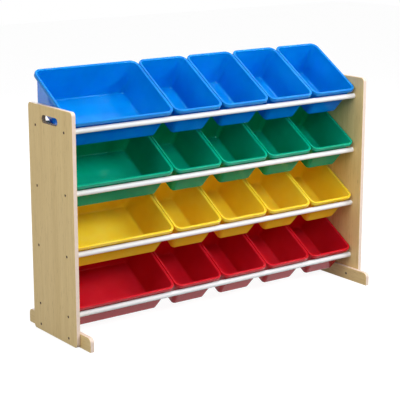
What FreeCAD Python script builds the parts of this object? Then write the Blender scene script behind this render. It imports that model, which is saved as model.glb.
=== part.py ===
import FreeCAD, Part
import math
import os

# Toy storage organizer: two upright board panels on board feet, four tiers of
# paired steel tubes between them, and five tilted plastic bins on every tier.
# Frame: origin on the floor, midway between the panels and midway between
# their front and rear edges. +X to the right, +Y to the rear, +Z up. Lengths
# are in millimetres and angles in degrees.

os.makedirs("parts", exist_ok=True)

# --- Bins ------------------------------------------------------------------
small_bin_width = 206.0      # over the rim, along the tubes
double_bin_width = 414.5     # over the rim of the wide bin on the left
bin_length = 285.0           # over the rim, from front to rear
bin_depth = 120.0            # rim top to underside of the floor
bin_wall = 2.0
bin_floor = 2.4
rim_flange = 7.0             # how far the rim stands out from the walls
rim_thickness = 2.2
rim_lip_drop = 13.0          # turned-down edge of the rim
rim_lip_thickness = 2.0
rim_corner_radius = 28.0
rim_edge_radius = 1.9        # rounding along the rim's outer top edge
wall_draft_front = 12.0      # how far each wall leans in over the depth
wall_draft_rear = 26.0
wall_draft_side = 26.0
floor_corner_radius = 14.0
floor_edge_radius = 9.0      # rounding between the walls and the floor
small_bins_per_tier = 4
bin_tilt = 32.0              # rim of a seated bin, measured from level
bin_gap = 2.3                # between the rims of neighbouring bins
end_gap = 1.6                # between an end bin's rim and the panel
seat_clearance = 0.3         # a bin's wall and floor stand this far off the tubes

# --- Tubes and their plugs ---------------------------------------------------
tube_diameter = 19.0
tube_wall = 1.2
plug_length = 32.0
plug_clearance = 0.1         # round the plug inside the tube
tube_spacing = 183.5         # front tube axis to rear tube axis
bottom_tube_height = 97.0
tier_pitch = 207.0
tier_colours = ["red", "yellow", "green", "blue"]

# --- Side panels ---------------------------------------------------------------
panel_thickness = 15.0
panel_front_margin = 51.0    # panel's front edge to the front tube axis
panel_rear_margin = 45.5     # rear tube axis to the panel's rear edge
panel_top_margin = 72.0      # top tube axis to the panel's top edge
panel_corner_radius = 13.0
board_edge_round = 1.5
slot_length = 102.0          # finger slot, along the panel's depth
slot_height = 27.0
slot_below_top = 45.0        # panel's top edge to the middle of the slot

# --- Feet ------------------------------------------------------------------------
foot_thickness = 15.0
foot_height = 48.0
foot_overhang = 61.0         # beyond the panel's front and rear edges
foot_corner_radius = 16.0

# --- Screws, bolts and nuts --------------------------------------------------------
screw_diameter = 6.0
screw_head_diameter = 9.6
screw_head_height = 3.6
screw_head_recess = 0.4      # heads lie this far below the board's face
screw_length = 44.0          # under the head
hex_socket_width = 4.0
hex_socket_depth = 2.2
screw_clearance = 0.15       # round shanks and heads, all sides
foot_bolt_height = 22.0      # above the floor
sleeve_diameter = 8.4        # sleeve nut in the foot
sleeve_end_gap = 0.5         # sleeve nut's tip short of the panel
bolt_end_gap = 1.5           # bolt tip short of the sleeve nut's head

# --- How the solids are drawn -------------------------------------------------------
cut_overrun = 1.0            # holes and cuts run this far past the faces they open
same_height = 1e-4           # edges this close to a height count as lying at it
hexagon_sides = 6

# --- Worked out from the sizes above -------------------------------------------------
tube_length = (double_bin_width + small_bins_per_tier * (small_bin_width + bin_gap)
               + 2 * end_gap)
inner_face = tube_length / 2
outer_face = inner_face + panel_thickness
panel_depth = panel_front_margin + tube_spacing + panel_rear_margin
panel_front = -panel_depth / 2
front_tube_y = panel_front + panel_front_margin
rear_tube_y = front_tube_y + tube_spacing
tier_heights = [bottom_tube_height + tier * tier_pitch for tier in range(len(tier_colours))]
panel_height = tier_heights[-1] + panel_top_margin
foot_length = panel_depth + 2 * foot_overhang
tube_radius = tube_diameter / 2
tube_bore = tube_diameter - 2 * tube_wall
shank_hole = screw_diameter + 2 * screw_clearance
head_hole = screw_head_diameter + 2 * screw_clearance
head_seat_depth = screw_head_recess + screw_head_height
sleeve_length = foot_thickness - head_seat_depth - sleeve_end_gap
foot_bolt_length = panel_thickness + foot_thickness - 2 * head_seat_depth - bolt_end_gap


def vec(x, y, z):
    return FreeCAD.Vector(x, y, z)


X_AXIS = vec(1, 0, 0)


def rounded_outline(x0, x1, y0, y1, radius, z):
    """Closed outline of a rectangle with round corners, level at height z."""
    quarter = math.sqrt(0.5) * radius
    corners = [(x1 - radius, y1 - radius, 1, 1), (x0 + radius, y1 - radius, -1, 1),
               (x0 + radius, y0 + radius, -1, -1), (x1 - radius, y0 + radius, 1, -1)]
    arcs = []
    for centre_x, centre_y, side_x, side_y in corners:
        on_x = vec(centre_x + side_x * radius, centre_y, z)
        middle = vec(centre_x + side_x * quarter, centre_y + side_y * quarter, z)
        on_y = vec(centre_x, centre_y + side_y * radius, z)
        points = [on_x, middle, on_y] if side_x * side_y > 0 else [on_y, middle, on_x]
        arcs.append(points)
    edges = []
    for index, points in enumerate(arcs):
        edges.append(Part.Arc(*points).toShape())
        following = arcs[(index + 1) % len(arcs)][0]
        edges.append(Part.LineSegment(points[2], following).toShape())
    return Part.Wire(edges)


def rounded_block(x0, x1, y0, y1, radius, z0, z1):
    """Upright block with round vertical corners."""
    outline = rounded_outline(x0, x1, y0, y1, radius, z0)
    return Part.Face(outline).extrude(vec(0, 0, z1 - z0))


def level_edges(shape, height):
    """Edges of a shape that lie at one height."""
    found = []
    for edge in shape.Edges:
        box = edge.BoundBox
        if max(abs(box.ZMin - height), abs(box.ZMax - height)) < same_height:
            found.append(edge)
    return found


def bin_core(half_width, inset, floor_height, edge_radius):
    """Tapered body of a bin, drawn in by inset from the walls' outer faces."""
    share = -floor_height / bin_depth
    lean = [wall_draft_side * share, wall_draft_front * share, wall_draft_rear * share]
    top_radius = rim_corner_radius - rim_flange - inset
    low_radius = floor_corner_radius - inset
    top = rounded_outline(-half_width + inset, half_width - inset,
                          rim_flange + inset, bin_length - rim_flange - inset,
                          top_radius, 0)
    low = rounded_outline(-half_width + inset + lean[0], half_width - inset - lean[0],
                          rim_flange + inset + lean[1],
                          bin_length - rim_flange - inset - lean[2],
                          top_radius + (low_radius - top_radius) * share, floor_height)
    core = Part.makeLoft([top, low], True, True)
    return core.makeFillet(edge_radius, level_edges(core, floor_height))


def make_bin(width):
    """A bin with its rim level at z = 0 and its front rim edge along y = 0."""
    half_wall = width / 2 - rim_flange
    shell = bin_core(half_wall, 0, -bin_depth, floor_edge_radius)
    rim = rounded_block(-width / 2, width / 2, 0, bin_length, rim_corner_radius,
                        -rim_lip_drop, 0)
    rim = rim.makeFillet(rim_edge_radius, level_edges(rim, 0))
    lip = rim_lip_thickness
    under_rim = rounded_block(-width / 2 + lip, width / 2 - lip, lip, bin_length - lip,
                              rim_corner_radius - lip, -rim_lip_drop, -rim_thickness)
    hollow = bin_core(half_wall, bin_wall, -bin_depth + bin_floor,
                      floor_edge_radius - bin_wall)
    return rim.cut(under_rim).fuse(shell).cut(hollow).removeSplitter()


def seated_bin_corner():
    """Front rim edge of a seated bin, relative to its front tube: (y, z).

    The bin's floor lies on the rear tube and its front wall leans on the front
    tube, so both contacts are written in the bin's own tilted directions.
    """
    slope = math.radians(bin_tilt)
    reach = tube_radius + seat_clearance
    draft = math.atan(wall_draft_front / bin_depth)
    tube_below_rim = -bin_depth - reach + tube_spacing * math.sin(slope)
    wall_there = rim_flange - wall_draft_front * tube_below_rim / bin_depth
    tube_behind_rim = wall_there - reach / math.cos(draft)
    corner_y = -(tube_behind_rim * math.cos(slope) - tube_below_rim * math.sin(slope))
    corner_z = -(tube_behind_rim * math.sin(slope) + tube_below_rim * math.cos(slope))
    return corner_y, corner_z


def seat_bin(shape, centre_x, tier_height):
    """Tilt a bin and set it on the tubes of one tier."""
    corner_y, corner_z = seated_bin_corner()
    seated = shape.copy()
    seated.rotate(vec(0, 0, 0), X_AXIS, bin_tilt)
    seated.translate(vec(centre_x, front_tube_y + corner_y, tier_height + corner_z))
    return seated


def cylinder_x(x0, x1, y, z, diameter):
    """Cylinder along X from x0 to x1."""
    return Part.makeCylinder(diameter / 2, abs(x1 - x0), vec(min(x0, x1), y, z), X_AXIS)


def board(y0, y1, z0, z1, radius, x0, x1):
    """Upright board with round corners and eased edges, its faces square to X."""
    plate = rounded_block(-z1, -z0, y0, y1, radius, x0, x1)
    rims = level_edges(plate, x0) + level_edges(plate, x1)
    plate = plate.makeFillet(board_edge_round, rims)
    plate.rotate(vec(0, 0, 0), vec(0, 1, 0), 90)
    return plate


def side_panel(side):
    """Panel with its finger slot, the tube screws' holes and the foot bolts' holes."""
    low_x, high_x = sorted([side * inner_face, side * outer_face])
    panel = board(panel_front, -panel_front, 0, panel_height, panel_corner_radius,
                  low_x, high_x)
    slot_middle = panel_height - slot_below_top
    slot_bottom = slot_middle - slot_height / 2
    slot_top = slot_middle + slot_height / 2
    end_y = slot_length / 2 - slot_height / 2
    start_x = low_x - cut_overrun
    end_x = high_x + cut_overrun
    slot_edges = [
        Part.LineSegment(vec(start_x, -end_y, slot_bottom), vec(start_x, end_y, slot_bottom)),
        Part.Arc(vec(start_x, end_y, slot_bottom), vec(start_x, slot_length / 2, slot_middle),
                 vec(start_x, end_y, slot_top)),
        Part.LineSegment(vec(start_x, end_y, slot_top), vec(start_x, -end_y, slot_top)),
        Part.Arc(vec(start_x, -end_y, slot_top), vec(start_x, -slot_length / 2, slot_middle),
                 vec(start_x, -end_y, slot_bottom)),
    ]
    slot_outline = Part.Wire([edge.toShape() for edge in slot_edges])
    holes = [Part.Face(slot_outline).extrude(vec(end_x - start_x, 0, 0))]
    head_end = side * (outer_face - head_seat_depth)
    head_start = side * (outer_face + cut_overrun)
    for y in (front_tube_y, rear_tube_y):
        for z in tier_heights + [foot_bolt_height]:
            holes.append(cylinder_x(start_x, end_x, y, z, shank_hole))
            holes.append(cylinder_x(head_end, head_start, y, z, head_hole))
    return panel.cut(holes)


def foot(side):
    """Board against the panel's inner face, with a bolt hole and a sleeve seat each end."""
    inner_x = inner_face - foot_thickness
    low_x, high_x = sorted([side * inner_x, side * inner_face])
    tall = board(-foot_length / 2, foot_length / 2, -foot_corner_radius, foot_height,
                 foot_corner_radius, low_x, high_x)
    below = Part.makeBox(foot_thickness + 2 * cut_overrun, foot_length + 2 * cut_overrun,
                         foot_corner_radius + cut_overrun,
                         vec(low_x - cut_overrun, -foot_length / 2 - cut_overrun,
                             -foot_corner_radius - cut_overrun))
    shape = tall.cut(below)
    start_x = side * (inner_x - cut_overrun)
    head_end = side * (inner_x + head_seat_depth)
    sleeve_end = side * (inner_x + head_seat_depth + sleeve_length)
    through = side * (inner_face + cut_overrun)
    holes = []
    for y in (front_tube_y, rear_tube_y):
        holes.append(cylinder_x(start_x, head_end, y, foot_bolt_height, head_hole))
        holes.append(cylinder_x(start_x, sleeve_end, y, foot_bolt_height,
                                sleeve_diameter + 2 * screw_clearance))
        holes.append(cylinder_x(start_x, through, y, foot_bolt_height, shank_hole))
    return shape.cut(holes)


def tube(y, z):
    """Steel tube that butts against both panels."""
    outside = cylinder_x(-inner_face, inner_face, y, z, tube_diameter)
    return outside.cut(cylinder_x(-inner_face, inner_face, y, z, tube_bore))


def end_plug(side, y, z):
    """Plug inside a tube end, with the hole that takes the screw."""
    inner_end = side * (inner_face - plug_length)
    body = cylinder_x(inner_end, side * inner_face, y, z,
                      tube_bore - 2 * plug_clearance)
    return body.cut(cylinder_x(inner_end, side * inner_face, y, z, shank_hole))


def headed_fastener(side, head_x, length, diameter, y, z):
    """Cheese-headed screw or nut whose head face is at head_x, reaching in by length."""
    head_back = head_x - side * screw_head_height
    head = cylinder_x(head_back, head_x, y, z, screw_head_diameter)
    shank = cylinder_x(head_back, head_back - side * length, y, z, diameter)
    socket = hex_socket(side, head_x, y, z)
    return head.fuse(shank).cut(socket).removeSplitter()


def hex_socket(side, head_x, y, z):
    """Six-sided recess in a head."""
    corner = hex_socket_width / math.sqrt(3)
    points = []
    for step in range(hexagon_sides + 1):
        angle = 2 * math.pi * step / hexagon_sides
        points.append(vec(head_x, y + corner * math.cos(angle), z + corner * math.sin(angle)))
    outline = Part.Face(Part.makePolygon(points))
    return outline.extrude(vec(-side * hex_socket_depth, 0, 0))


def sleeve_nut(side, y, z):
    """Sleeve nut let into the foot's inner face, its bore open towards the bolt."""
    head_x = side * (inner_face - foot_thickness + screw_head_recess)
    nut = headed_fastener(-side, head_x, sleeve_length, sleeve_diameter, y, z)
    bore_start = head_x + side * screw_head_height
    bore_end = bore_start + side * (sleeve_length + cut_overrun)
    bore = cylinder_x(bore_start, bore_end, y, z, shank_hole)
    return nut.cut(bore)


def write(name, shapes):
    """One file per node: a single solid, or a group of separate identical solids."""
    solids = []
    for shape in shapes:
        solids.extend(shape.Solids)
    for solid in solids:
        if not solid.isValid():
            raise ValueError("invalid solid in " + name)
    whole = solids[0] if len(solids) == 1 else Part.makeCompound(solids)
    whole.exportStep(os.path.join("parts", name + ".step"))


write("left_side_panel", [side_panel(-1)])
write("right_side_panel", [side_panel(1)])
write("left_foot", [foot(-1)])
write("right_foot", [foot(1)])

plugs = []
tube_screws = []
screw_head_x = outer_face - screw_head_recess
for colour, tier_height in zip(tier_colours, tier_heights):
    for place, tube_y in (("front", front_tube_y), ("rear", rear_tube_y)):
        write(colour + "_tier_" + place + "_tube", [tube(tube_y, tier_height)])
        for side in (-1, 1):
            plugs.append(end_plug(side, tube_y, tier_height))
            tube_screws.append(headed_fastener(side, side * screw_head_x, screw_length,
                                               screw_diameter, tube_y, tier_height))
write("tube_end_plugs", plugs)
write("tube_screws", tube_screws)

foot_bolts = []
foot_nuts = []
for side in (-1, 1):
    for bolt_y in (front_tube_y, rear_tube_y):
        foot_bolts.append(headed_fastener(side, side * screw_head_x, foot_bolt_length,
                                          screw_diameter, bolt_y, foot_bolt_height))
        foot_nuts.append(sleeve_nut(side, bolt_y, foot_bolt_height))
write("foot_bolts", foot_bolts)
write("foot_sleeve_nuts", foot_nuts)

double_bin = make_bin(double_bin_width)
small_bin = make_bin(small_bin_width)
for colour, tier_height in zip(tier_colours, tier_heights):
    left_edge = -inner_face + end_gap
    write(colour + "_double_bin", [seat_bin(double_bin, left_edge + double_bin_width / 2,
                                            tier_height)])
    left_edge += double_bin_width + bin_gap
    for number in range(1, small_bins_per_tier + 1):
        seated = seat_bin(small_bin, left_edge + small_bin_width / 2, tier_height)
        write(colour + "_small_bin_" + str(number), [seated])
        left_edge += small_bin_width + bin_gap
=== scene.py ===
import math
import bpy
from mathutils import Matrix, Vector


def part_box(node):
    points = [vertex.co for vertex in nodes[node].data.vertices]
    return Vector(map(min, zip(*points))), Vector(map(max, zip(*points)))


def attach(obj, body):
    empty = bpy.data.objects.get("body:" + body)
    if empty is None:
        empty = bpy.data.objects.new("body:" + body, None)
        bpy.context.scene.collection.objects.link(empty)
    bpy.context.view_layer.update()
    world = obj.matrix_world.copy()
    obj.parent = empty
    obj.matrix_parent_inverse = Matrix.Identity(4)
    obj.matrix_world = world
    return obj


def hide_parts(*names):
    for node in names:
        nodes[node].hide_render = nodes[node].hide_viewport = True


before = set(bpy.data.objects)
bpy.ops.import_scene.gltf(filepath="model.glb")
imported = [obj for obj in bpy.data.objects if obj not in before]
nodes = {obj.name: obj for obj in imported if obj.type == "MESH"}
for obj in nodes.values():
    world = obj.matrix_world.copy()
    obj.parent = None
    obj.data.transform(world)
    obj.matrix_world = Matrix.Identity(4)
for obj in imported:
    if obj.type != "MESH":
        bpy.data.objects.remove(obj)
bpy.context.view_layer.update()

# --- Side panels -----------------------------------------------------------------
# Two upright boards of 15 mm particle board. Both faces carry a wood-look film
# whose grain runs upwards, and a cream plastic band is ironed on all round the
# edge. The finger slot and the screw holes are cut through the bare core.


def paint(red, green, blue):
    """A colour as it is read off a screen, 0 to 255, for a shader."""
    shares = [level / 255 for level in (red, green, blue)]
    linear = [s / 12.92 if s <= 0.04045 else ((s + 0.055) / 1.055) ** 2.4 for s in shares]
    return linear + [1.0]


def fill(tree, socket, value):
    """Link a socket to another node's output, or write a value in it."""
    if isinstance(value, bpy.types.NodeSocket):
        tree.links.new(value, socket)
    else:
        socket.default_value = value


def add_node(tree, kind, inputs=None, **settings):
    """A node with its settings, and its inputs linked or filled in."""
    node = tree.nodes.new(kind)
    for setting, value in settings.items():
        setattr(node, setting, value)
    for socket, value in (inputs or {}).items():
        fill(tree, node.inputs[socket], value)
    return node


def reckon(tree, operation, *values):
    """The result of one arithmetic step."""
    step = add_node(tree, "ShaderNodeMath", dict(enumerate(values)), operation=operation)
    return step.outputs[0]


def stretched_noise(tree, stretch, scale, detail, roughness=0.55):
    """Noise on the object's own coordinates, drawn out along the directions in stretch."""
    place = add_node(tree, "ShaderNodeTexCoord").outputs["Object"]
    spread = add_node(tree, "ShaderNodeMapping", {"Vector": place, "Scale": stretch})
    noise = add_node(tree, "ShaderNodeTexNoise", {"Vector": spread.outputs[0], "Scale": scale,
                                                  "Detail": detail, "Roughness": roughness})
    return noise.outputs["Fac"]


def ramp(tree, amount, *stops):
    """Colours along an amount from 0 to 1; each stop is (position, colour)."""
    node = add_node(tree, "ShaderNodeValToRGB", {"Fac": amount})
    while len(node.color_ramp.elements) < len(stops):
        node.color_ramp.elements.new(0.5)
    for element, (position, colour) in zip(node.color_ramp.elements, stops):
        element.position = position
        element.color = colour
    return node.outputs["Color"]


def blend_colours(tree, share, first, second):
    """Second colour laid over the first, by share."""
    node = add_node(tree, "ShaderNodeMix", data_type="RGBA")
    for socket, value in ((0, share), (6, first), (7, second)):
        fill(tree, node.inputs[socket], value)
    return node.outputs[2]


def new_finish(name):
    """A material with its node tree and its shader."""
    finish = bpy.data.materials.new(name)
    finish.use_nodes = True
    return finish, finish.node_tree, finish.node_tree.nodes["Principled BSDF"]


def film_faced_board(name, node, grain, band_depth):
    """Board finish: grained film on the faces, cream band round the edge, bare core in cuts.

    The right-hand node gives the sizes, and the left-hand one is its mirror image.
    """
    low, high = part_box(node)
    middle, thickness = (low.x + high.x) / 2, high.x - low.x
    film_end, band_start = 0.0008, 0.0013   # below the face, where one gives way to the other
    fibre_share = 0.35                      # how far the fibres cover the broad streaks
    pore_shortness = 2.4                    # pores are drawn out less than the fibres
    finish, tree, shader = new_finish(name)
    place = add_node(tree, "ShaderNodeTexCoord").outputs["Object"]
    along = add_node(tree, "ShaderNodeSeparateXYZ", {0: place}).outputs
    streaks = stretched_noise(tree, grain, scale=34, detail=4)
    fibres = stretched_noise(tree, grain, scale=210, detail=5, roughness=0.7)
    short_grain = [share * pore_shortness if share < 1 else 1 for share in grain]
    pores = stretched_noise(tree, short_grain, scale=330, detail=2)
    film = ramp(tree, streaks, (0.30, paint(221, 190, 128)), (0.47, paint(230, 201, 141)),
                (0.70, paint(237, 210, 151)))
    film = blend_colours(tree, fibre_share, film,
                         ramp(tree, fibres, (0.30, paint(194, 162, 100)),
                              (0.62, paint(225, 199, 139))))
    film = blend_colours(tree, ramp(tree, pores, (0.60, (0, 0, 0, 1)), (0.72, (0.4, 0.4, 0.4, 1))),
                         film, paint(164, 132, 80))
    band = ramp(tree, stretched_noise(tree, (1, 1, 1), scale=90, detail=3),
                (0.3, paint(220, 199, 184)), (0.7, paint(227, 207, 193)))
    core = ramp(tree, stretched_noise(tree, (1, 1, 1), scale=900, detail=3),
                (0.35, paint(166, 142, 116)), (0.65, paint(205, 184, 158)))
    off_middle = reckon(tree, "ABSOLUTE",
                        reckon(tree, "SUBTRACT", reckon(tree, "ABSOLUTE", along["X"]), middle))
    on_face = add_node(tree, "ShaderNodeMapRange",
                       {"Value": off_middle, "From Min": thickness / 2 - band_start,
                        "From Max": thickness / 2 - film_end}).outputs[0]
    off_mid_height = reckon(tree, "ABSOLUTE", reckon(tree, "SUBTRACT", along["Z"], high.z / 2))
    inside = reckon(tree, "MULTIPLY",
                    reckon(tree, "LESS_THAN", reckon(tree, "ABSOLUTE", along["Y"]),
                           high.y - band_depth),
                    reckon(tree, "LESS_THAN", off_mid_height, high.z / 2 - band_depth))
    colour = blend_colours(tree, on_face, blend_colours(tree, inside, band, core), film)
    tree.links.new(colour, shader.inputs["Base Color"])
    rough = add_node(tree, "ShaderNodeMapRange", {"Value": fibres, "To Min": 0.38, "To Max": 0.58})
    tree.links.new(rough.outputs[0], shader.inputs["Roughness"])
    bump = add_node(tree, "ShaderNodeBump", {"Height": fibres, "Strength": 0.25,
                                             "Distance": 0.0003})
    tree.links.new(bump.outputs[0], shader.inputs["Normal"])
    return finish


def finish_node(node, finish):
    """Give a carried-over CAD node its finish."""
    piece = nodes[node]
    if not piece.material_slots:
        piece.data.materials.append(finish)
    for place in piece.material_slots:
        place.material = finish


panel_board = film_faced_board("panel_board", "right_side_panel", grain=(1, 1, 0.035),
                               band_depth=0.0042)
for side in ("left", "right"):
    finish_node(side + "_side_panel", panel_board)

# --- Feet ------------------------------------------------------------------------
# Two boards on edge, one inside each panel, reaching out to the front and the
# rear. They are cut from the same filmed board with its grain lengthwise, and
# edged with the same cream band over their round upper corners.

foot_board = film_faced_board("foot_board", "right_foot", grain=(1, 0.035, 1),
                              band_depth=0.0045)
for side in ("left", "right"):
    finish_node(side + "_foot", foot_board)

# --- Foot bolts and sleeve nuts ----------------------------------------------------
# A steel bolt goes through the panel into a sleeve nut let into the foot, two
# to each foot. Both have a low round head with a six-sided socket, blackened
# with a thin bronze-brown coat that is rubbed bright on the rims.


def new_tree(name, sizes):
    """An empty geometry tree with named inputs; sizes maps a name to its kind."""
    tree = bpy.data.node_groups.new(name, "GeometryNodeTree")
    tree.interface.new_socket("Geometry", in_out="INPUT", socket_type="NodeSocketGeometry")
    tree.interface.new_socket("Geometry", in_out="OUTPUT", socket_type="NodeSocketGeometry")
    for label, kind in sizes.items():
        tree.interface.new_socket(label, in_out="INPUT", socket_type="NodeSocket" + kind)
    tree.interface.new_socket("Finish", in_out="INPUT", socket_type="NodeSocketMaterial")
    return tree, tree.nodes.new("NodeGroupInput").outputs


def end_tree(tree, shape, finish):
    """Realize, coat and hand out the shape."""
    real = add_node(tree, "GeometryNodeRealizeInstances", {0: shape}).outputs[0]
    coated = add_node(tree, "GeometryNodeSetMaterial", {"Geometry": real, "Material": finish})
    tree.links.new(coated.outputs[0], tree.nodes.new("NodeGroupOutput").inputs[0])


def make_piece(name, tree, points, sizes):
    """Run a tree on a few points and keep the result as a plain mesh."""
    base = bpy.data.meshes.new(name + "_points")
    base.from_pydata(points, [], [])
    piece = bpy.data.objects.new(name, base)
    bpy.context.scene.collection.objects.link(piece)
    modifier = piece.modifiers.new("shape", "NODES")
    modifier.node_group = tree
    for socket in tree.interface.items_tree:
        if socket.in_out == "INPUT" and socket.name in sizes:
            modifier[socket.identifier] = sizes[socket.name]
    shown = piece.evaluated_get(bpy.context.evaluated_depsgraph_get())
    mesh = bpy.data.meshes.new_from_object(shown)
    piece.modifiers.remove(modifier)
    piece.data = mesh
    mesh.name = name
    return piece


def joined(tree, *shapes):
    """Several shapes as one."""
    node = tree.nodes.new("GeometryNodeJoinGeometry")
    for shape in reversed(shapes):
        tree.links.new(shape, node.inputs[0])
    return node.outputs[0]


def moved(tree, shape, z):
    """A shape lifted by z."""
    lift = add_node(tree, "ShaderNodeCombineXYZ", {"Z": z}).outputs[0]
    return add_node(tree, "GeometryNodeTransform", {"Geometry": shape,
                                                    "Translation": lift}).outputs[0]


def headed_screw_tree():
    """Screw along Z, head face at zero; one on each point, heads facing away from the middle."""
    tree, size = new_tree("headed_screw", {
        "Head Diameter": "Float", "Head Height": "Float", "Head Chamfer": "Float",
        "Shank Diameter": "Float", "Shank Length": "Float", "Thread Pitch": "Float",
        "Thread Height": "Float", "Socket Width": "Float", "Socket Depth": "Float"})
    head_sides, shank_sides, steps_per_turn = 32, 24, 18
    plain_turns, tip_turns = 2, 0.7         # turns of the thread left off, and bare at the tip
    head_radius = reckon(tree, "MULTIPLY", size["Head Diameter"], 0.5)
    chamfer = size["Head Chamfer"]
    barrel_height = reckon(tree, "SUBTRACT", size["Head Height"], chamfer)
    barrel = add_node(tree, "GeometryNodeMeshCylinder",
                      {"Vertices": head_sides, "Radius": head_radius,
                       "Depth": barrel_height}).outputs[0]
    barrel_middle = reckon(tree, "MULTIPLY", reckon(tree, "ADD", size["Head Height"], chamfer),
                           -0.5)
    barrel = moved(tree, barrel, z=barrel_middle)
    crown = add_node(tree, "GeometryNodeMeshCone",
                     {"Vertices": head_sides, "Radius Bottom": head_radius,
                      "Radius Top": reckon(tree, "SUBTRACT", head_radius, chamfer),
                      "Depth": chamfer}).outputs[0]
    crown = moved(tree, crown, z=reckon(tree, "MULTIPLY", chamfer, -1))
    core_radius = reckon(tree, "SUBTRACT", reckon(tree, "MULTIPLY", size["Shank Diameter"], 0.5),
                         size["Thread Height"])
    shank = add_node(tree, "GeometryNodeMeshCylinder",
                     {"Vertices": shank_sides, "Radius": core_radius,
                      "Depth": size["Shank Length"]}).outputs[0]
    shank_middle = reckon(tree, "MULTIPLY", size["Shank Length"], -0.5)
    shank = moved(tree, shank, z=reckon(tree, "SUBTRACT", shank_middle, size["Head Height"]))
    whole = add_node(tree, "GeometryNodeMeshBoolean", operation="UNION", solver="EXACT")
    for part in (shank, crown, barrel):
        tree.links.new(part, whole.inputs["Mesh 2"])
    key = add_node(tree, "GeometryNodeMeshCylinder",
                   {"Vertices": 6,
                    "Radius": reckon(tree, "DIVIDE", size["Socket Width"], math.sqrt(3)),
                    "Depth": reckon(tree, "MULTIPLY", size["Socket Depth"], 2)}).outputs[0]
    drilled = add_node(tree, "GeometryNodeMeshBoolean",
                       {"Mesh 1": whole.outputs[0], "Mesh 2": key},
                       operation="DIFFERENCE", solver="EXACT").outputs[0]
    threaded = reckon(tree, "SUBTRACT", size["Shank Length"],
                      reckon(tree, "MULTIPLY", size["Thread Pitch"], plain_turns))
    helix = add_node(tree, "GeometryNodeCurveSpiral",
                     {"Resolution": steps_per_turn, "Start Radius": core_radius,
                      "End Radius": core_radius, "Height": threaded,
                      "Rotations": reckon(tree, "DIVIDE", threaded, size["Thread Pitch"])
                      }).outputs[0]
    ridge = add_node(tree, "GeometryNodeCurvePrimitiveCircle",
                     {"Resolution": 4, "Radius": size["Thread Height"]}).outputs[0]
    thread = add_node(tree, "GeometryNodeCurveToMesh",
                      {"Curve": helix, "Profile Curve": ridge, "Fill Caps": True}).outputs[0]
    whole_length = reckon(tree, "ADD", size["Head Height"], size["Shank Length"])
    thread_start = reckon(tree, "SUBTRACT",
                          reckon(tree, "MULTIPLY", size["Thread Pitch"], tip_turns),
                          whole_length)
    screw = joined(tree, drilled, moved(tree, thread, z=thread_start))
    where = add_node(tree, "ShaderNodeSeparateXYZ",
                     {0: tree.nodes.new("GeometryNodeInputPosition").outputs[0]}).outputs["X"]
    quarter_turn = reckon(tree, "MULTIPLY", reckon(tree, "SIGN", where), math.pi / 2)
    turn = add_node(tree, "ShaderNodeCombineXYZ", {"Y": quarter_turn}).outputs[0]
    turned = add_node(tree, "FunctionNodeEulerToRotation", {0: turn}).outputs[0]
    placed = add_node(tree, "GeometryNodeInstanceOnPoints",
                      {"Points": size["Geometry"], "Instance": screw, "Rotation": turned})
    end_tree(tree, placed.outputs[0], size["Finish"])
    return tree


def brown_steel(name):
    """Steel with a thin dark brown coat, worn a little by the key."""
    finish, tree, shader = new_finish(name)
    wear = stretched_noise(tree, (1, 1, 1), scale=1400, detail=4, roughness=0.65)
    tree.links.new(ramp(tree, wear, (0.38, paint(66, 48, 36)), (0.62, paint(96, 73, 55)),
                        (0.78, paint(142, 120, 98))), shader.inputs["Base Color"])
    rough = add_node(tree, "ShaderNodeMapRange", {"Value": wear, "To Min": 0.5, "To Max": 0.3})
    tree.links.new(rough.outputs[0], shader.inputs["Roughness"])
    shader.inputs["Metallic"].default_value = 0.6
    return finish


screw_head = {"Head Diameter": 0.0096, "Head Height": 0.0036, "Head Chamfer": 0.0005,
              "Shank Diameter": 0.006, "Socket Width": 0.004, "Socket Depth": 0.0022}
head_recess = 0.0004             # heads lie this far below the panel's outer face
head_face_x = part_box("right_side_panel")[1].x - head_recess
foot_bolt_height = 0.022
front_tube_y = -0.089
rear_tube_y = 0.0945
screw_tree = headed_screw_tree()
fastener_steel = brown_steel("fastener_steel")
bolt_places = [(side * head_face_x, y, foot_bolt_height) for side in (-1, 1)
               for y in (front_tube_y, rear_tube_y)]
foot_bolts = make_piece("threaded_foot_bolts", screw_tree, bolt_places,
                        {**screw_head, "Shank Length": 0.0205, "Thread Pitch": 0.001,
                         "Thread Height": 0.00055, "Finish": fastener_steel})
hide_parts("foot_bolts")
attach(foot_bolts, "frame")
finish_node("foot_sleeve_nuts", fastener_steel)

# --- Tubes -------------------------------------------------------------------------
# Four tiers of two welded steel tubes, 19 mm across, cut square with broken
# edges and powder coated white. They butt against the panels' inner faces, and
# the bins hang on them.


def round_tube_tree():
    """Hollow tube along X, centred on each point, with rounded end edges."""
    tree, size = new_tree("round_tube", {"Length": "Float", "Outer Diameter": "Float",
                                         "Wall": "Float", "End Rounding": "Float"})
    tube_sides, rounding_steps = 56, 3
    mid_radius = reckon(tree, "MULTIPLY", reckon(tree, "SUBTRACT", size["Outer Diameter"],
                                                 size["Wall"]), 0.5)
    ring = add_node(tree, "GeometryNodeCurvePrimitiveCircle",
                    {"Resolution": tube_sides, "Radius": mid_radius}).outputs[0]
    section = add_node(tree, "GeometryNodeCurvePrimitiveQuadrilateral",
                       {"Width": size["Wall"], "Height": size["Length"]}).outputs[0]
    section = add_node(tree, "GeometryNodeFilletCurve",
                       {"Curve": section, "Count": rounding_steps,
                        "Radius": size["End Rounding"]},
                       mode="POLY").outputs[0]
    shape = add_node(tree, "GeometryNodeCurveToMesh",
                     {"Curve": ring, "Profile Curve": section}).outputs[0]
    shape = add_node(tree, "GeometryNodeTransform",
                     {"Geometry": shape, "Rotation": (0, math.pi / 2, 0)}).outputs[0]
    placed = add_node(tree, "GeometryNodeInstanceOnPoints",
                      {"Points": size["Geometry"], "Instance": shape}).outputs[0]
    end_tree(tree, placed, size["Finish"])
    return tree


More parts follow.
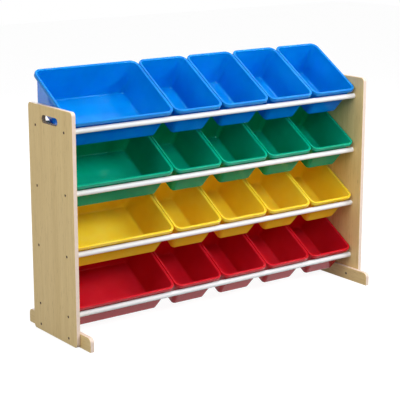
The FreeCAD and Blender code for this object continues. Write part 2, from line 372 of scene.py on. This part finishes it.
def powder_coat(name):
    """White powder coat, half gloss, with a faint orange-peel surface."""
    finish, tree, shader = new_finish(name)
    peel = stretched_noise(tree, (1, 1, 1), scale=420, detail=3)
    cloud = stretched_noise(tree, (0.2, 1, 1), scale=18, detail=2)
    tree.links.new(ramp(tree, cloud, (0.3, paint(228, 230, 233)), (0.7, paint(235, 236, 238))),
                   shader.inputs["Base Color"])
    rough = add_node(tree, "ShaderNodeMapRange", {"Value": peel, "To Min": 0.32, "To Max": 0.45})
    tree.links.new(rough.outputs[0], shader.inputs["Roughness"])
    bump = add_node(tree, "ShaderNodeBump", {"Height": peel, "Strength": 0.12,
                                             "Distance": 0.0003})
    tree.links.new(bump.outputs[0], shader.inputs["Normal"])
    return finish


tier_heights = {"red": 0.097, "yellow": 0.304, "green": 0.511, "blue": 0.718}
tube_rows = {"front": front_tube_y, "rear": rear_tube_y}
inner_face_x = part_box("right_side_panel")[0].x
tube_sizes = {"Length": 2 * inner_face_x, "Outer Diameter": 0.019, "Wall": 0.0012,
              "End Rounding": 0.0004, "Finish": powder_coat("white_powder_coat")}
tube_tree = round_tube_tree()
for colour, height in tier_heights.items():
    for row, y in tube_rows.items():
        tube = make_piece(f"{colour}_{row}_coated_tube", tube_tree, [(0, y, height)], tube_sizes)
        for face in tube.data.polygons:
            face.use_smooth = True
        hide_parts(f"{colour}_tier_{row}_tube")
        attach(tube, "frame")

# --- Tube end plugs and screws -------------------------------------------------------
# A grey nylon plug is pressed into every tube end, and a screw through the
# panel bites into it. The screw heads lie just below the panel's outer face.


def nylon(name, dark, light):
    """Moulded nylon with a fine matt surface."""
    finish, tree, shader = new_finish(name)
    grain = stretched_noise(tree, (1, 1, 1), scale=600, detail=3)
    tree.links.new(ramp(tree, grain, (0.3, dark), (0.7, light)), shader.inputs["Base Color"])
    shader.inputs["Roughness"].default_value = 0.55
    return finish


finish_node("tube_end_plugs", nylon("plug_nylon", paint(96, 98, 100), paint(118, 120, 122)))
screw_places = [(side * head_face_x, y, height) for side in (-1, 1)
                for y in tube_rows.values() for height in tier_heights.values()]
tube_screws = make_piece("threaded_tube_screws", screw_tree, screw_places,
                         {**screw_head, "Shank Length": 0.044, "Thread Pitch": 0.0022,
                          "Thread Height": 0.0008, "Finish": fastener_steel})
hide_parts("tube_screws")
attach(tube_screws, "frame")

# --- Bins --------------------------------------------------------------------------
# Twenty moulded bins of glossy polypropylene, a wide one and four small ones in
# one colour to a tier. Their walls lean in and their rims turn down. A bin tilts
# forwards, its floor on the rear tube and its front wall against the front one.


def choose(tree, kind, index, values):
    """The value whose place in the list is the index; kind is the values' type."""
    node = add_node(tree, "GeometryNodeIndexSwitch", data_type=kind)
    while len(node.index_switch_items) < len(values):
        node.index_switch_items.new()
    tree.links.new(index, node.inputs["Index"])
    for number, value in enumerate(values):
        fill(tree, node.inputs[number + 1], value)
    return node.outputs[0]


def moulded_bin_tree(arc_steps=8, edge_steps=5):
    """Tapered bin: a section of wall and rim carried round a rectangle with round corners."""
    tree, size = new_tree("moulded_bin", {
        "Width": "Float", "Length": "Float", "Depth": "Float", "Wall": "Float", "Floor": "Float",
        "Rim Flange": "Float", "Rim Thickness": "Float", "Lip Drop": "Float",
        "Lip Thickness": "Float", "Rim Corner": "Float", "Floor Corner": "Float",
        "Draft": "Float", "Front Draft": "Float", "Floor Edge": "Float",
        "Outer Rim Edge": "Float", "Inner Rim Edge": "Float", "Bead Width": "Float",
        "Bead Height": "Float", "Tilt": "Float", "Place": "Vector"})

    def lean(share, wall):
        """Distance in from the rim, and height, of the wall at a share of the depth."""
        inset = reckon(tree, "ADD", reckon(tree, "ADD", size["Rim Flange"], wall),
                       reckon(tree, "MULTIPLY", size["Draft"], share))
        return inset, reckon(tree, "MULTIPLY", reckon(tree, "MULTIPLY", size["Depth"], share), -1)

    def steeper_front(share):
        """How much less the front wall has come in than the others at a share of the depth."""
        return reckon(tree, "MULTIPLY", share,
                      reckon(tree, "SUBTRACT", size["Draft"], size["Front Draft"]))

    def middle_of(share):
        """Distance in from the rim at which the floor closes."""
        long_way = reckon(tree, "ADD", size["Length"], steeper_front(share))
        return reckon(tree, "MULTIPLY", reckon(tree, "MINIMUM", size["Width"], long_way), 0.5)

    floor_share = reckon(tree, "SUBTRACT", 1,
                         reckon(tree, "DIVIDE", size["Floor"], size["Depth"]))
    flange_share = reckon(tree, "DIVIDE", size["Rim Thickness"], size["Depth"])
    underside = reckon(tree, "MULTIPLY", size["Depth"], -1)
    inside = reckon(tree, "MULTIPLY", reckon(tree, "MULTIPLY", size["Depth"], floor_share), -1)
    under_flange = reckon(tree, "MULTIPLY", size["Rim Thickness"], -1)
    lip_end = reckon(tree, "MULTIPLY", size["Lip Drop"], -1)
    inner_edge = reckon(tree, "SUBTRACT", size["Floor Edge"], size["Wall"])
    past_edge = 1.1                          # flat floor starts at this many edge radii
    outer_flat = reckon(tree, "ADD", lean(1, 0)[0],
                        reckon(tree, "MULTIPLY", size["Floor Edge"], past_edge))
    inner_flat = reckon(tree, "ADD", lean(floor_share, size["Wall"])[0],
                        reckon(tree, "MULTIPLY", inner_edge, past_edge))
    lip = size["Lip Thickness"]
    above_floor, below_rim, below_bead = 0.88, 0.05, 0.045   # shares of the depth, on flat walls
    flange_fillet, lip_fillet, lip_edge, bead_edge = 0.0012, 0.0008, 0.0007, 0.0006
    beside_bead = reckon(tree, "MULTIPLY", size["Bead Height"], -1)
    bead_foot = reckon(tree, "ADD", size["Bead Width"], size["Bead Height"])
    # from the middle of the underside, up the outside, over the rim and down the inside
    stations = [
        (middle_of(1), underside, 0),
        (outer_flat, underside, 0),
        (*lean(1, 0), size["Floor Edge"]),
        (*lean(above_floor, 0), 0),
        (*lean(below_rim, 0), 0),
        (*lean(flange_share, 0), flange_fillet),
        (lip, under_flange, lip_fillet),
        (lip, lip_end, lip_edge),
        (0.0, lip_end, lip_edge),
        (0.0, 0.0, size["Outer Rim Edge"]),
        (size["Bead Width"], 0.0, bead_edge),
        (bead_foot, beside_bead, bead_edge),
        (lean(0, size["Wall"])[0], beside_bead, size["Inner Rim Edge"]),
        (*lean(below_bead, size["Wall"]), 0),
        (*lean(above_floor, size["Wall"]), 0),
        (*lean(floor_share, size["Wall"]), inner_edge),
        (inner_flat, inside, 0),
        (middle_of(floor_share), inside, 0),
    ]
    index = tree.nodes.new("GeometryNodeInputIndex").outputs[0]
    corners = [add_node(tree, "ShaderNodeCombineXYZ", {"X": inset, "Z": height}).outputs[0]
               for inset, height, radius in stations]
    line = add_node(tree, "GeometryNodeResampleCurve",
                    {"Curve": tree.nodes.new("GeometryNodeCurvePrimitiveLine").outputs[0],
                     "Count": len(stations)}).outputs[0]
    section = add_node(tree, "GeometryNodeSetPosition",
                       {"Geometry": line, "Position": choose(tree, "VECTOR", index, corners)})
    radii = choose(tree, "FLOAT", index, [radius for inset, height, radius in stations])
    section = add_node(tree, "GeometryNodeFilletCurve",
                       {"Curve": section.outputs[0], "Count": edge_steps, "Radius": radii,
                        "Limit Radius": True}, mode="POLY").outputs[0]
    section = add_node(tree, "GeometryNodeCurveToMesh", {"Curve": section}).outputs[0]
    rings = add_node(tree, "GeometryNodeAttributeDomainSize", {0: section}).outputs["Point Count"]

    loops_beside = 0.003                     # a straight step next to each corner's arc
    weld_distance = 0.00002
    per_corner = arc_steps + 3               # the arc's own points and one on either side
    around = 4 * per_corner
    grid = add_node(tree, "GeometryNodeMeshGrid", {"Vertices X": around + 1,
                                                   "Vertices Y": rings}).outputs[0]
    ring = reckon(tree, "MODULO", index, rings)
    station = reckon(tree, "MODULO", reckon(tree, "FLOOR", reckon(tree, "DIVIDE", index, rings)),
                     around)
    on_section = add_node(tree, "GeometryNodeSampleIndex", data_type="FLOAT_VECTOR")
    tree.links.new(section, on_section.inputs["Geometry"])
    tree.links.new(tree.nodes.new("GeometryNodeInputPosition").outputs[0],
                   on_section.inputs["Value"])
    tree.links.new(ring, on_section.inputs["Index"])
    along = add_node(tree, "ShaderNodeSeparateXYZ", {0: on_section.outputs[0]}).outputs
    inset, height = along["X"], along["Z"]
    # the corner radius shrinks as the section goes in and grows as it goes down
    whole_inset = reckon(tree, "ADD", size["Rim Flange"], size["Draft"])
    growth = reckon(tree, "ADD", whole_inset,
                    reckon(tree, "SUBTRACT", size["Floor Corner"], size["Rim Corner"]))
    share = reckon(tree, "DIVIDE", reckon(tree, "MULTIPLY", height, -1), size["Depth"])
    on_wall = reckon(tree, "GREATER_THAN", inset, size["Rim Flange"])
    share = reckon(tree, "MULTIPLY", share, on_wall)
    radius = reckon(tree, "ADD", reckon(tree, "SUBTRACT", size["Rim Corner"], inset),
                    reckon(tree, "MULTIPLY", growth, share))
    radius = reckon(tree, "MAXIMUM", radius, 0)
    corner = reckon(tree, "FLOOR", reckon(tree, "DIVIDE", reckon(tree, "ADD", station, 0.5),
                                          per_corner))
    step = reckon(tree, "SUBTRACT", station, reckon(tree, "MULTIPLY", corner, per_corner))
    share_of_arc = reckon(tree, "DIVIDE", reckon(tree, "SUBTRACT", step, 1), arc_steps)
    share_of_arc = add_node(tree, "ShaderNodeClamp", {"Value": share_of_arc}).outputs[0]
    turn = reckon(tree, "MULTIPLY", reckon(tree, "ADD", corner, share_of_arc), math.pi / 2)
    middle = reckon(tree, "MULTIPLY", reckon(tree, "ADD", corner, 0.5), math.pi / 2)
    before_after = reckon(tree, "SUBTRACT", reckon(tree, "GREATER_THAN", step, arc_steps + 1.5),
                          reckon(tree, "LESS_THAN", step, 0.5))
    along_side = reckon(tree, "MULTIPLY", before_after,
                        reckon(tree, "MINIMUM", radius, loops_beside))
    cosine, sine = reckon(tree, "COSINE", turn), reckon(tree, "SINE", turn)

    def outline(span, direction, across, sign):
        """One coordinate of the ring: a corner's centre, its arc, a step along the side."""
        centre = reckon(tree, "SUBTRACT", reckon(tree, "SUBTRACT",
                        reckon(tree, "MULTIPLY", span, 0.5), inset), radius)
        centre = reckon(tree, "MAXIMUM", centre, 0)
        side = reckon(tree, "SIGN", reckon(tree, sign, middle))
        arc = reckon(tree, "ADD", reckon(tree, "MULTIPLY", centre, side),
                     reckon(tree, "MULTIPLY", radius, direction))
        return reckon(tree, "ADD", arc, reckon(tree, "MULTIPLY", along_side, across))

    x = outline(size["Width"], cosine, reckon(tree, "MULTIPLY", sine, -1), "COSINE")
    eased = steeper_front(share)
    y = outline(reckon(tree, "ADD", size["Length"], eased), sine, cosine, "SINE")
    y = reckon(tree, "ADD", y, reckon(tree, "MULTIPLY",
               reckon(tree, "SUBTRACT", size["Length"], eased), 0.5))
    place = add_node(tree, "ShaderNodeCombineXYZ", {"X": x, "Y": y, "Z": height}).outputs[0]
    shell = add_node(tree, "GeometryNodeSetPosition", {"Geometry": grid,
                                                       "Position": place}).outputs[0]
    shell = add_node(tree, "GeometryNodeMergeByDistance", {"Geometry": shell,
                                                           "Distance": weld_distance})
    tilt = add_node(tree, "ShaderNodeCombineXYZ", {"X": size["Tilt"]}).outputs[0]
    tilt = add_node(tree, "FunctionNodeEulerToRotation", {0: tilt}).outputs[0]
    shell = add_node(tree, "GeometryNodeTransform",
                     {"Geometry": shell.outputs[0], "Translation": size["Place"],
                      "Rotation": tilt})
    shell = add_node(tree, "GeometryNodeSetShadeSmooth", {"Geometry": shell.outputs[0]})
    end_tree(tree, shell.outputs[0], size["Finish"])
    return tree


def glossy_polypropylene(name, deep, body, pale, glow, gloss):
    """Glossy, faintly translucent plastic with soft flow marks and a fine skin."""
    finish, tree, shader = new_finish(name)
    flow = stretched_noise(tree, (1, 1, 1), scale=9, detail=3)
    skin = stretched_noise(tree, (1, 1, 1), scale=520, detail=3)
    tree.links.new(ramp(tree, flow, (0.28, deep), (0.5, body), (0.74, pale)),
                   shader.inputs["Base Color"])
    rough = add_node(tree, "ShaderNodeMapRange", {"Value": skin, "To Min": 0.09, "To Max": 0.18})
    tree.links.new(rough.outputs[0], shader.inputs["Roughness"])
    bump = add_node(tree, "ShaderNodeBump", {"Height": skin, "Strength": 0.06,
                                             "Distance": 0.0002})
    tree.links.new(bump.outputs[0], shader.inputs["Normal"])
    shader.inputs["IOR"].default_value = 1.49
    shader.inputs["Specular IOR Level"].default_value = 0.36
    shader.inputs["Specular Tint"].default_value = gloss
    shader.inputs["Subsurface Weight"].default_value = 0.6
    shader.inputs["Subsurface Radius"].default_value = glow
    shader.inputs["Subsurface Scale"].default_value = 0.006
    return finish


bin_plastics = {
    "red": glossy_polypropylene("red_plastic", paint(190, 18, 36), paint(198, 24, 42),
                                paint(206, 34, 50), (1.0, 0.12, 0.1), (1, 0.25, 0.25, 1)),
    "yellow": glossy_polypropylene("yellow_plastic", paint(251, 200, 43), paint(255, 207, 52),
                                   paint(255, 214, 68), (1.0, 0.7, 0.1), (1, 0.9, 0.6, 1)),
    "green": glossy_polypropylene("green_plastic", paint(0, 150, 116), paint(0, 158, 125),
                                  paint(10, 166, 134), (0.1, 1.0, 0.5), (0.35, 1, 0.85, 1)),
    "blue": glossy_polypropylene("blue_plastic", paint(0, 120, 204), paint(0, 128, 212),
                                 paint(10, 136, 220), (0.05, 0.4, 1.0), (0.25, 0.75, 1, 1)),
}
bin_sizes = {"Length": 0.285, "Depth": 0.120, "Wall": 0.002, "Floor": 0.0024,
             "Rim Flange": 0.007, "Rim Thickness": 0.0022, "Lip Drop": 0.013,
             "Lip Thickness": 0.002, "Rim Corner": 0.028, "Floor Corner": 0.014,
             "Draft": 0.026, "Front Draft": 0.012, "Floor Edge": 0.009,
             "Outer Rim Edge": 0.0024, "Inner Rim Edge": 0.003, "Bead Width": 0.0038,
             "Bead Height": 0.0006, "Tilt": math.radians(32)}
rim_ahead_of_tube = 0.017599     # the rim's front edge, seen from the front tube's middle
rim_above_tube = 0.027397
bin_tree = moulded_bin_tree()
for colour, height in tier_heights.items():
    for kind in ("double_bin", "small_bin_1", "small_bin_2", "small_bin_3", "small_bin_4"):
        node = f"{colour}_{kind}"
        low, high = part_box(node)
        place = ((low.x + high.x) / 2, front_tube_y - rim_ahead_of_tube, height + rim_above_tube)
        moulded = make_piece(f"{colour}_moulded_{kind}", bin_tree, [(0, 0, 0)],
                             {**bin_sizes, "Width": high.x - low.x, "Place": place,
                              "Finish": bin_plastics[colour]})
        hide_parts(node)
        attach(moulded, node)

# --- Studio ------------------------------------------------------------------------
# A pale floor and a white surround. Two broad lamps stand high in front, with
# one at the left, one overhead and a weaker one behind, and the surround fills
# in a little.


def seen_directly(tree):
    """1 for rays from the camera, in a mirror or through glass, and 0 for light on the object."""
    rays = tree.nodes.new("ShaderNodeLightPath").outputs
    either = reckon(tree, "MAXIMUM", rays["Is Camera Ray"], rays["Is Glossy Ray"])
    return reckon(tree, "MAXIMUM", either, rays["Is Transmission Ray"])


floor_reach = 9
floor_level = -0.0005
floor_mesh = bpy.data.meshes.new("studio_floor")
floor_mesh.from_pydata([(x * floor_reach, y * floor_reach, floor_level)
                        for x, y in ((-1, -1), (1, -1), (1, 1), (-1, 1))], [], [(0, 1, 2, 3)])
floor = bpy.data.objects.new("studio_floor", floor_mesh)
bpy.context.scene.collection.objects.link(floor)
floor_finish, tree, shader = new_finish("pale_floor")
shader.inputs["Base Color"].default_value = paint(130, 130, 130)
shader.inputs["Roughness"].default_value = 0.9
shader.inputs["Specular IOR Level"].default_value = 0.1
shader.inputs["Emission Color"].default_value = (1, 1, 1, 1)
floor_glow = 0.9                 # brings the floor to the white of the surround
tree.links.new(reckon(tree, "MULTIPLY", seen_directly(tree), floor_glow),
               shader.inputs["Emission Strength"])
floor_mesh.materials.append(floor_finish)

world = bpy.data.worlds.new("white_surround")
bpy.context.scene.world = world
world.use_nodes = True
surround = world.node_tree.nodes["Background"]
surround.inputs["Color"].default_value = (1, 1, 1, 1)
strength = add_node(world.node_tree, "ShaderNodeMapRange",
                    {"Value": seen_directly(world.node_tree), "To Min": 0.2, "To Max": 1.0})
world.node_tree.links.new(strength.outputs[0], surround.inputs["Strength"])

lamp_width = 1.8
lamp_aim = (0, 0, 0.45)
for name, spot, power in (("front_lamp", (0.4, -3.6, 2.8), 90),
                          ("right_lamp", (2.6, -2.8, 2.4), 84),
                          ("left_lamp", (-4.0, -0.7, 2.0), 63),
                          ("top_lamp", (0.2, -0.6, 3.6), 56),
                          ("rear_lamp", (1.0, 3.8, 2.2), 48)):
    lamp = bpy.data.lights.new(name, "AREA")
    lamp.shape = "DISK"
    lamp.size = lamp_width
    lamp.energy = power
    holder = bpy.data.objects.new(name, lamp)
    bpy.context.scene.collection.objects.link(holder)
    holder.location = spot
    toward = [aim - here for aim, here in zip(lamp_aim, spot)]
    level = math.hypot(toward[0], toward[1])
    holder.rotation_euler = (math.atan2(level, -toward[2]), 0,
                             math.atan2(-toward[0], toward[1]))

# --- Camera ------------------------------------------------------------------------
# A long lens looks at the organizer from the front left. It stands higher than
# the top tier and is pitched down a little, without roll or shift.

camera = bpy.data.cameras.new("camera")
camera.lens = 117.281
camera.sensor_width = 36
viewer = bpy.data.objects.new("camera", camera)
bpy.context.scene.collection.objects.link(viewer)
viewer.location = (-2.73787, -3.65185, 1.49863)
viewer.rotation_euler = (math.radians(76.304), 0, math.radians(-36.558))
bpy.context.scene.camera = viewer
bpy.context.scene.view_settings.view_transform = "Standard"
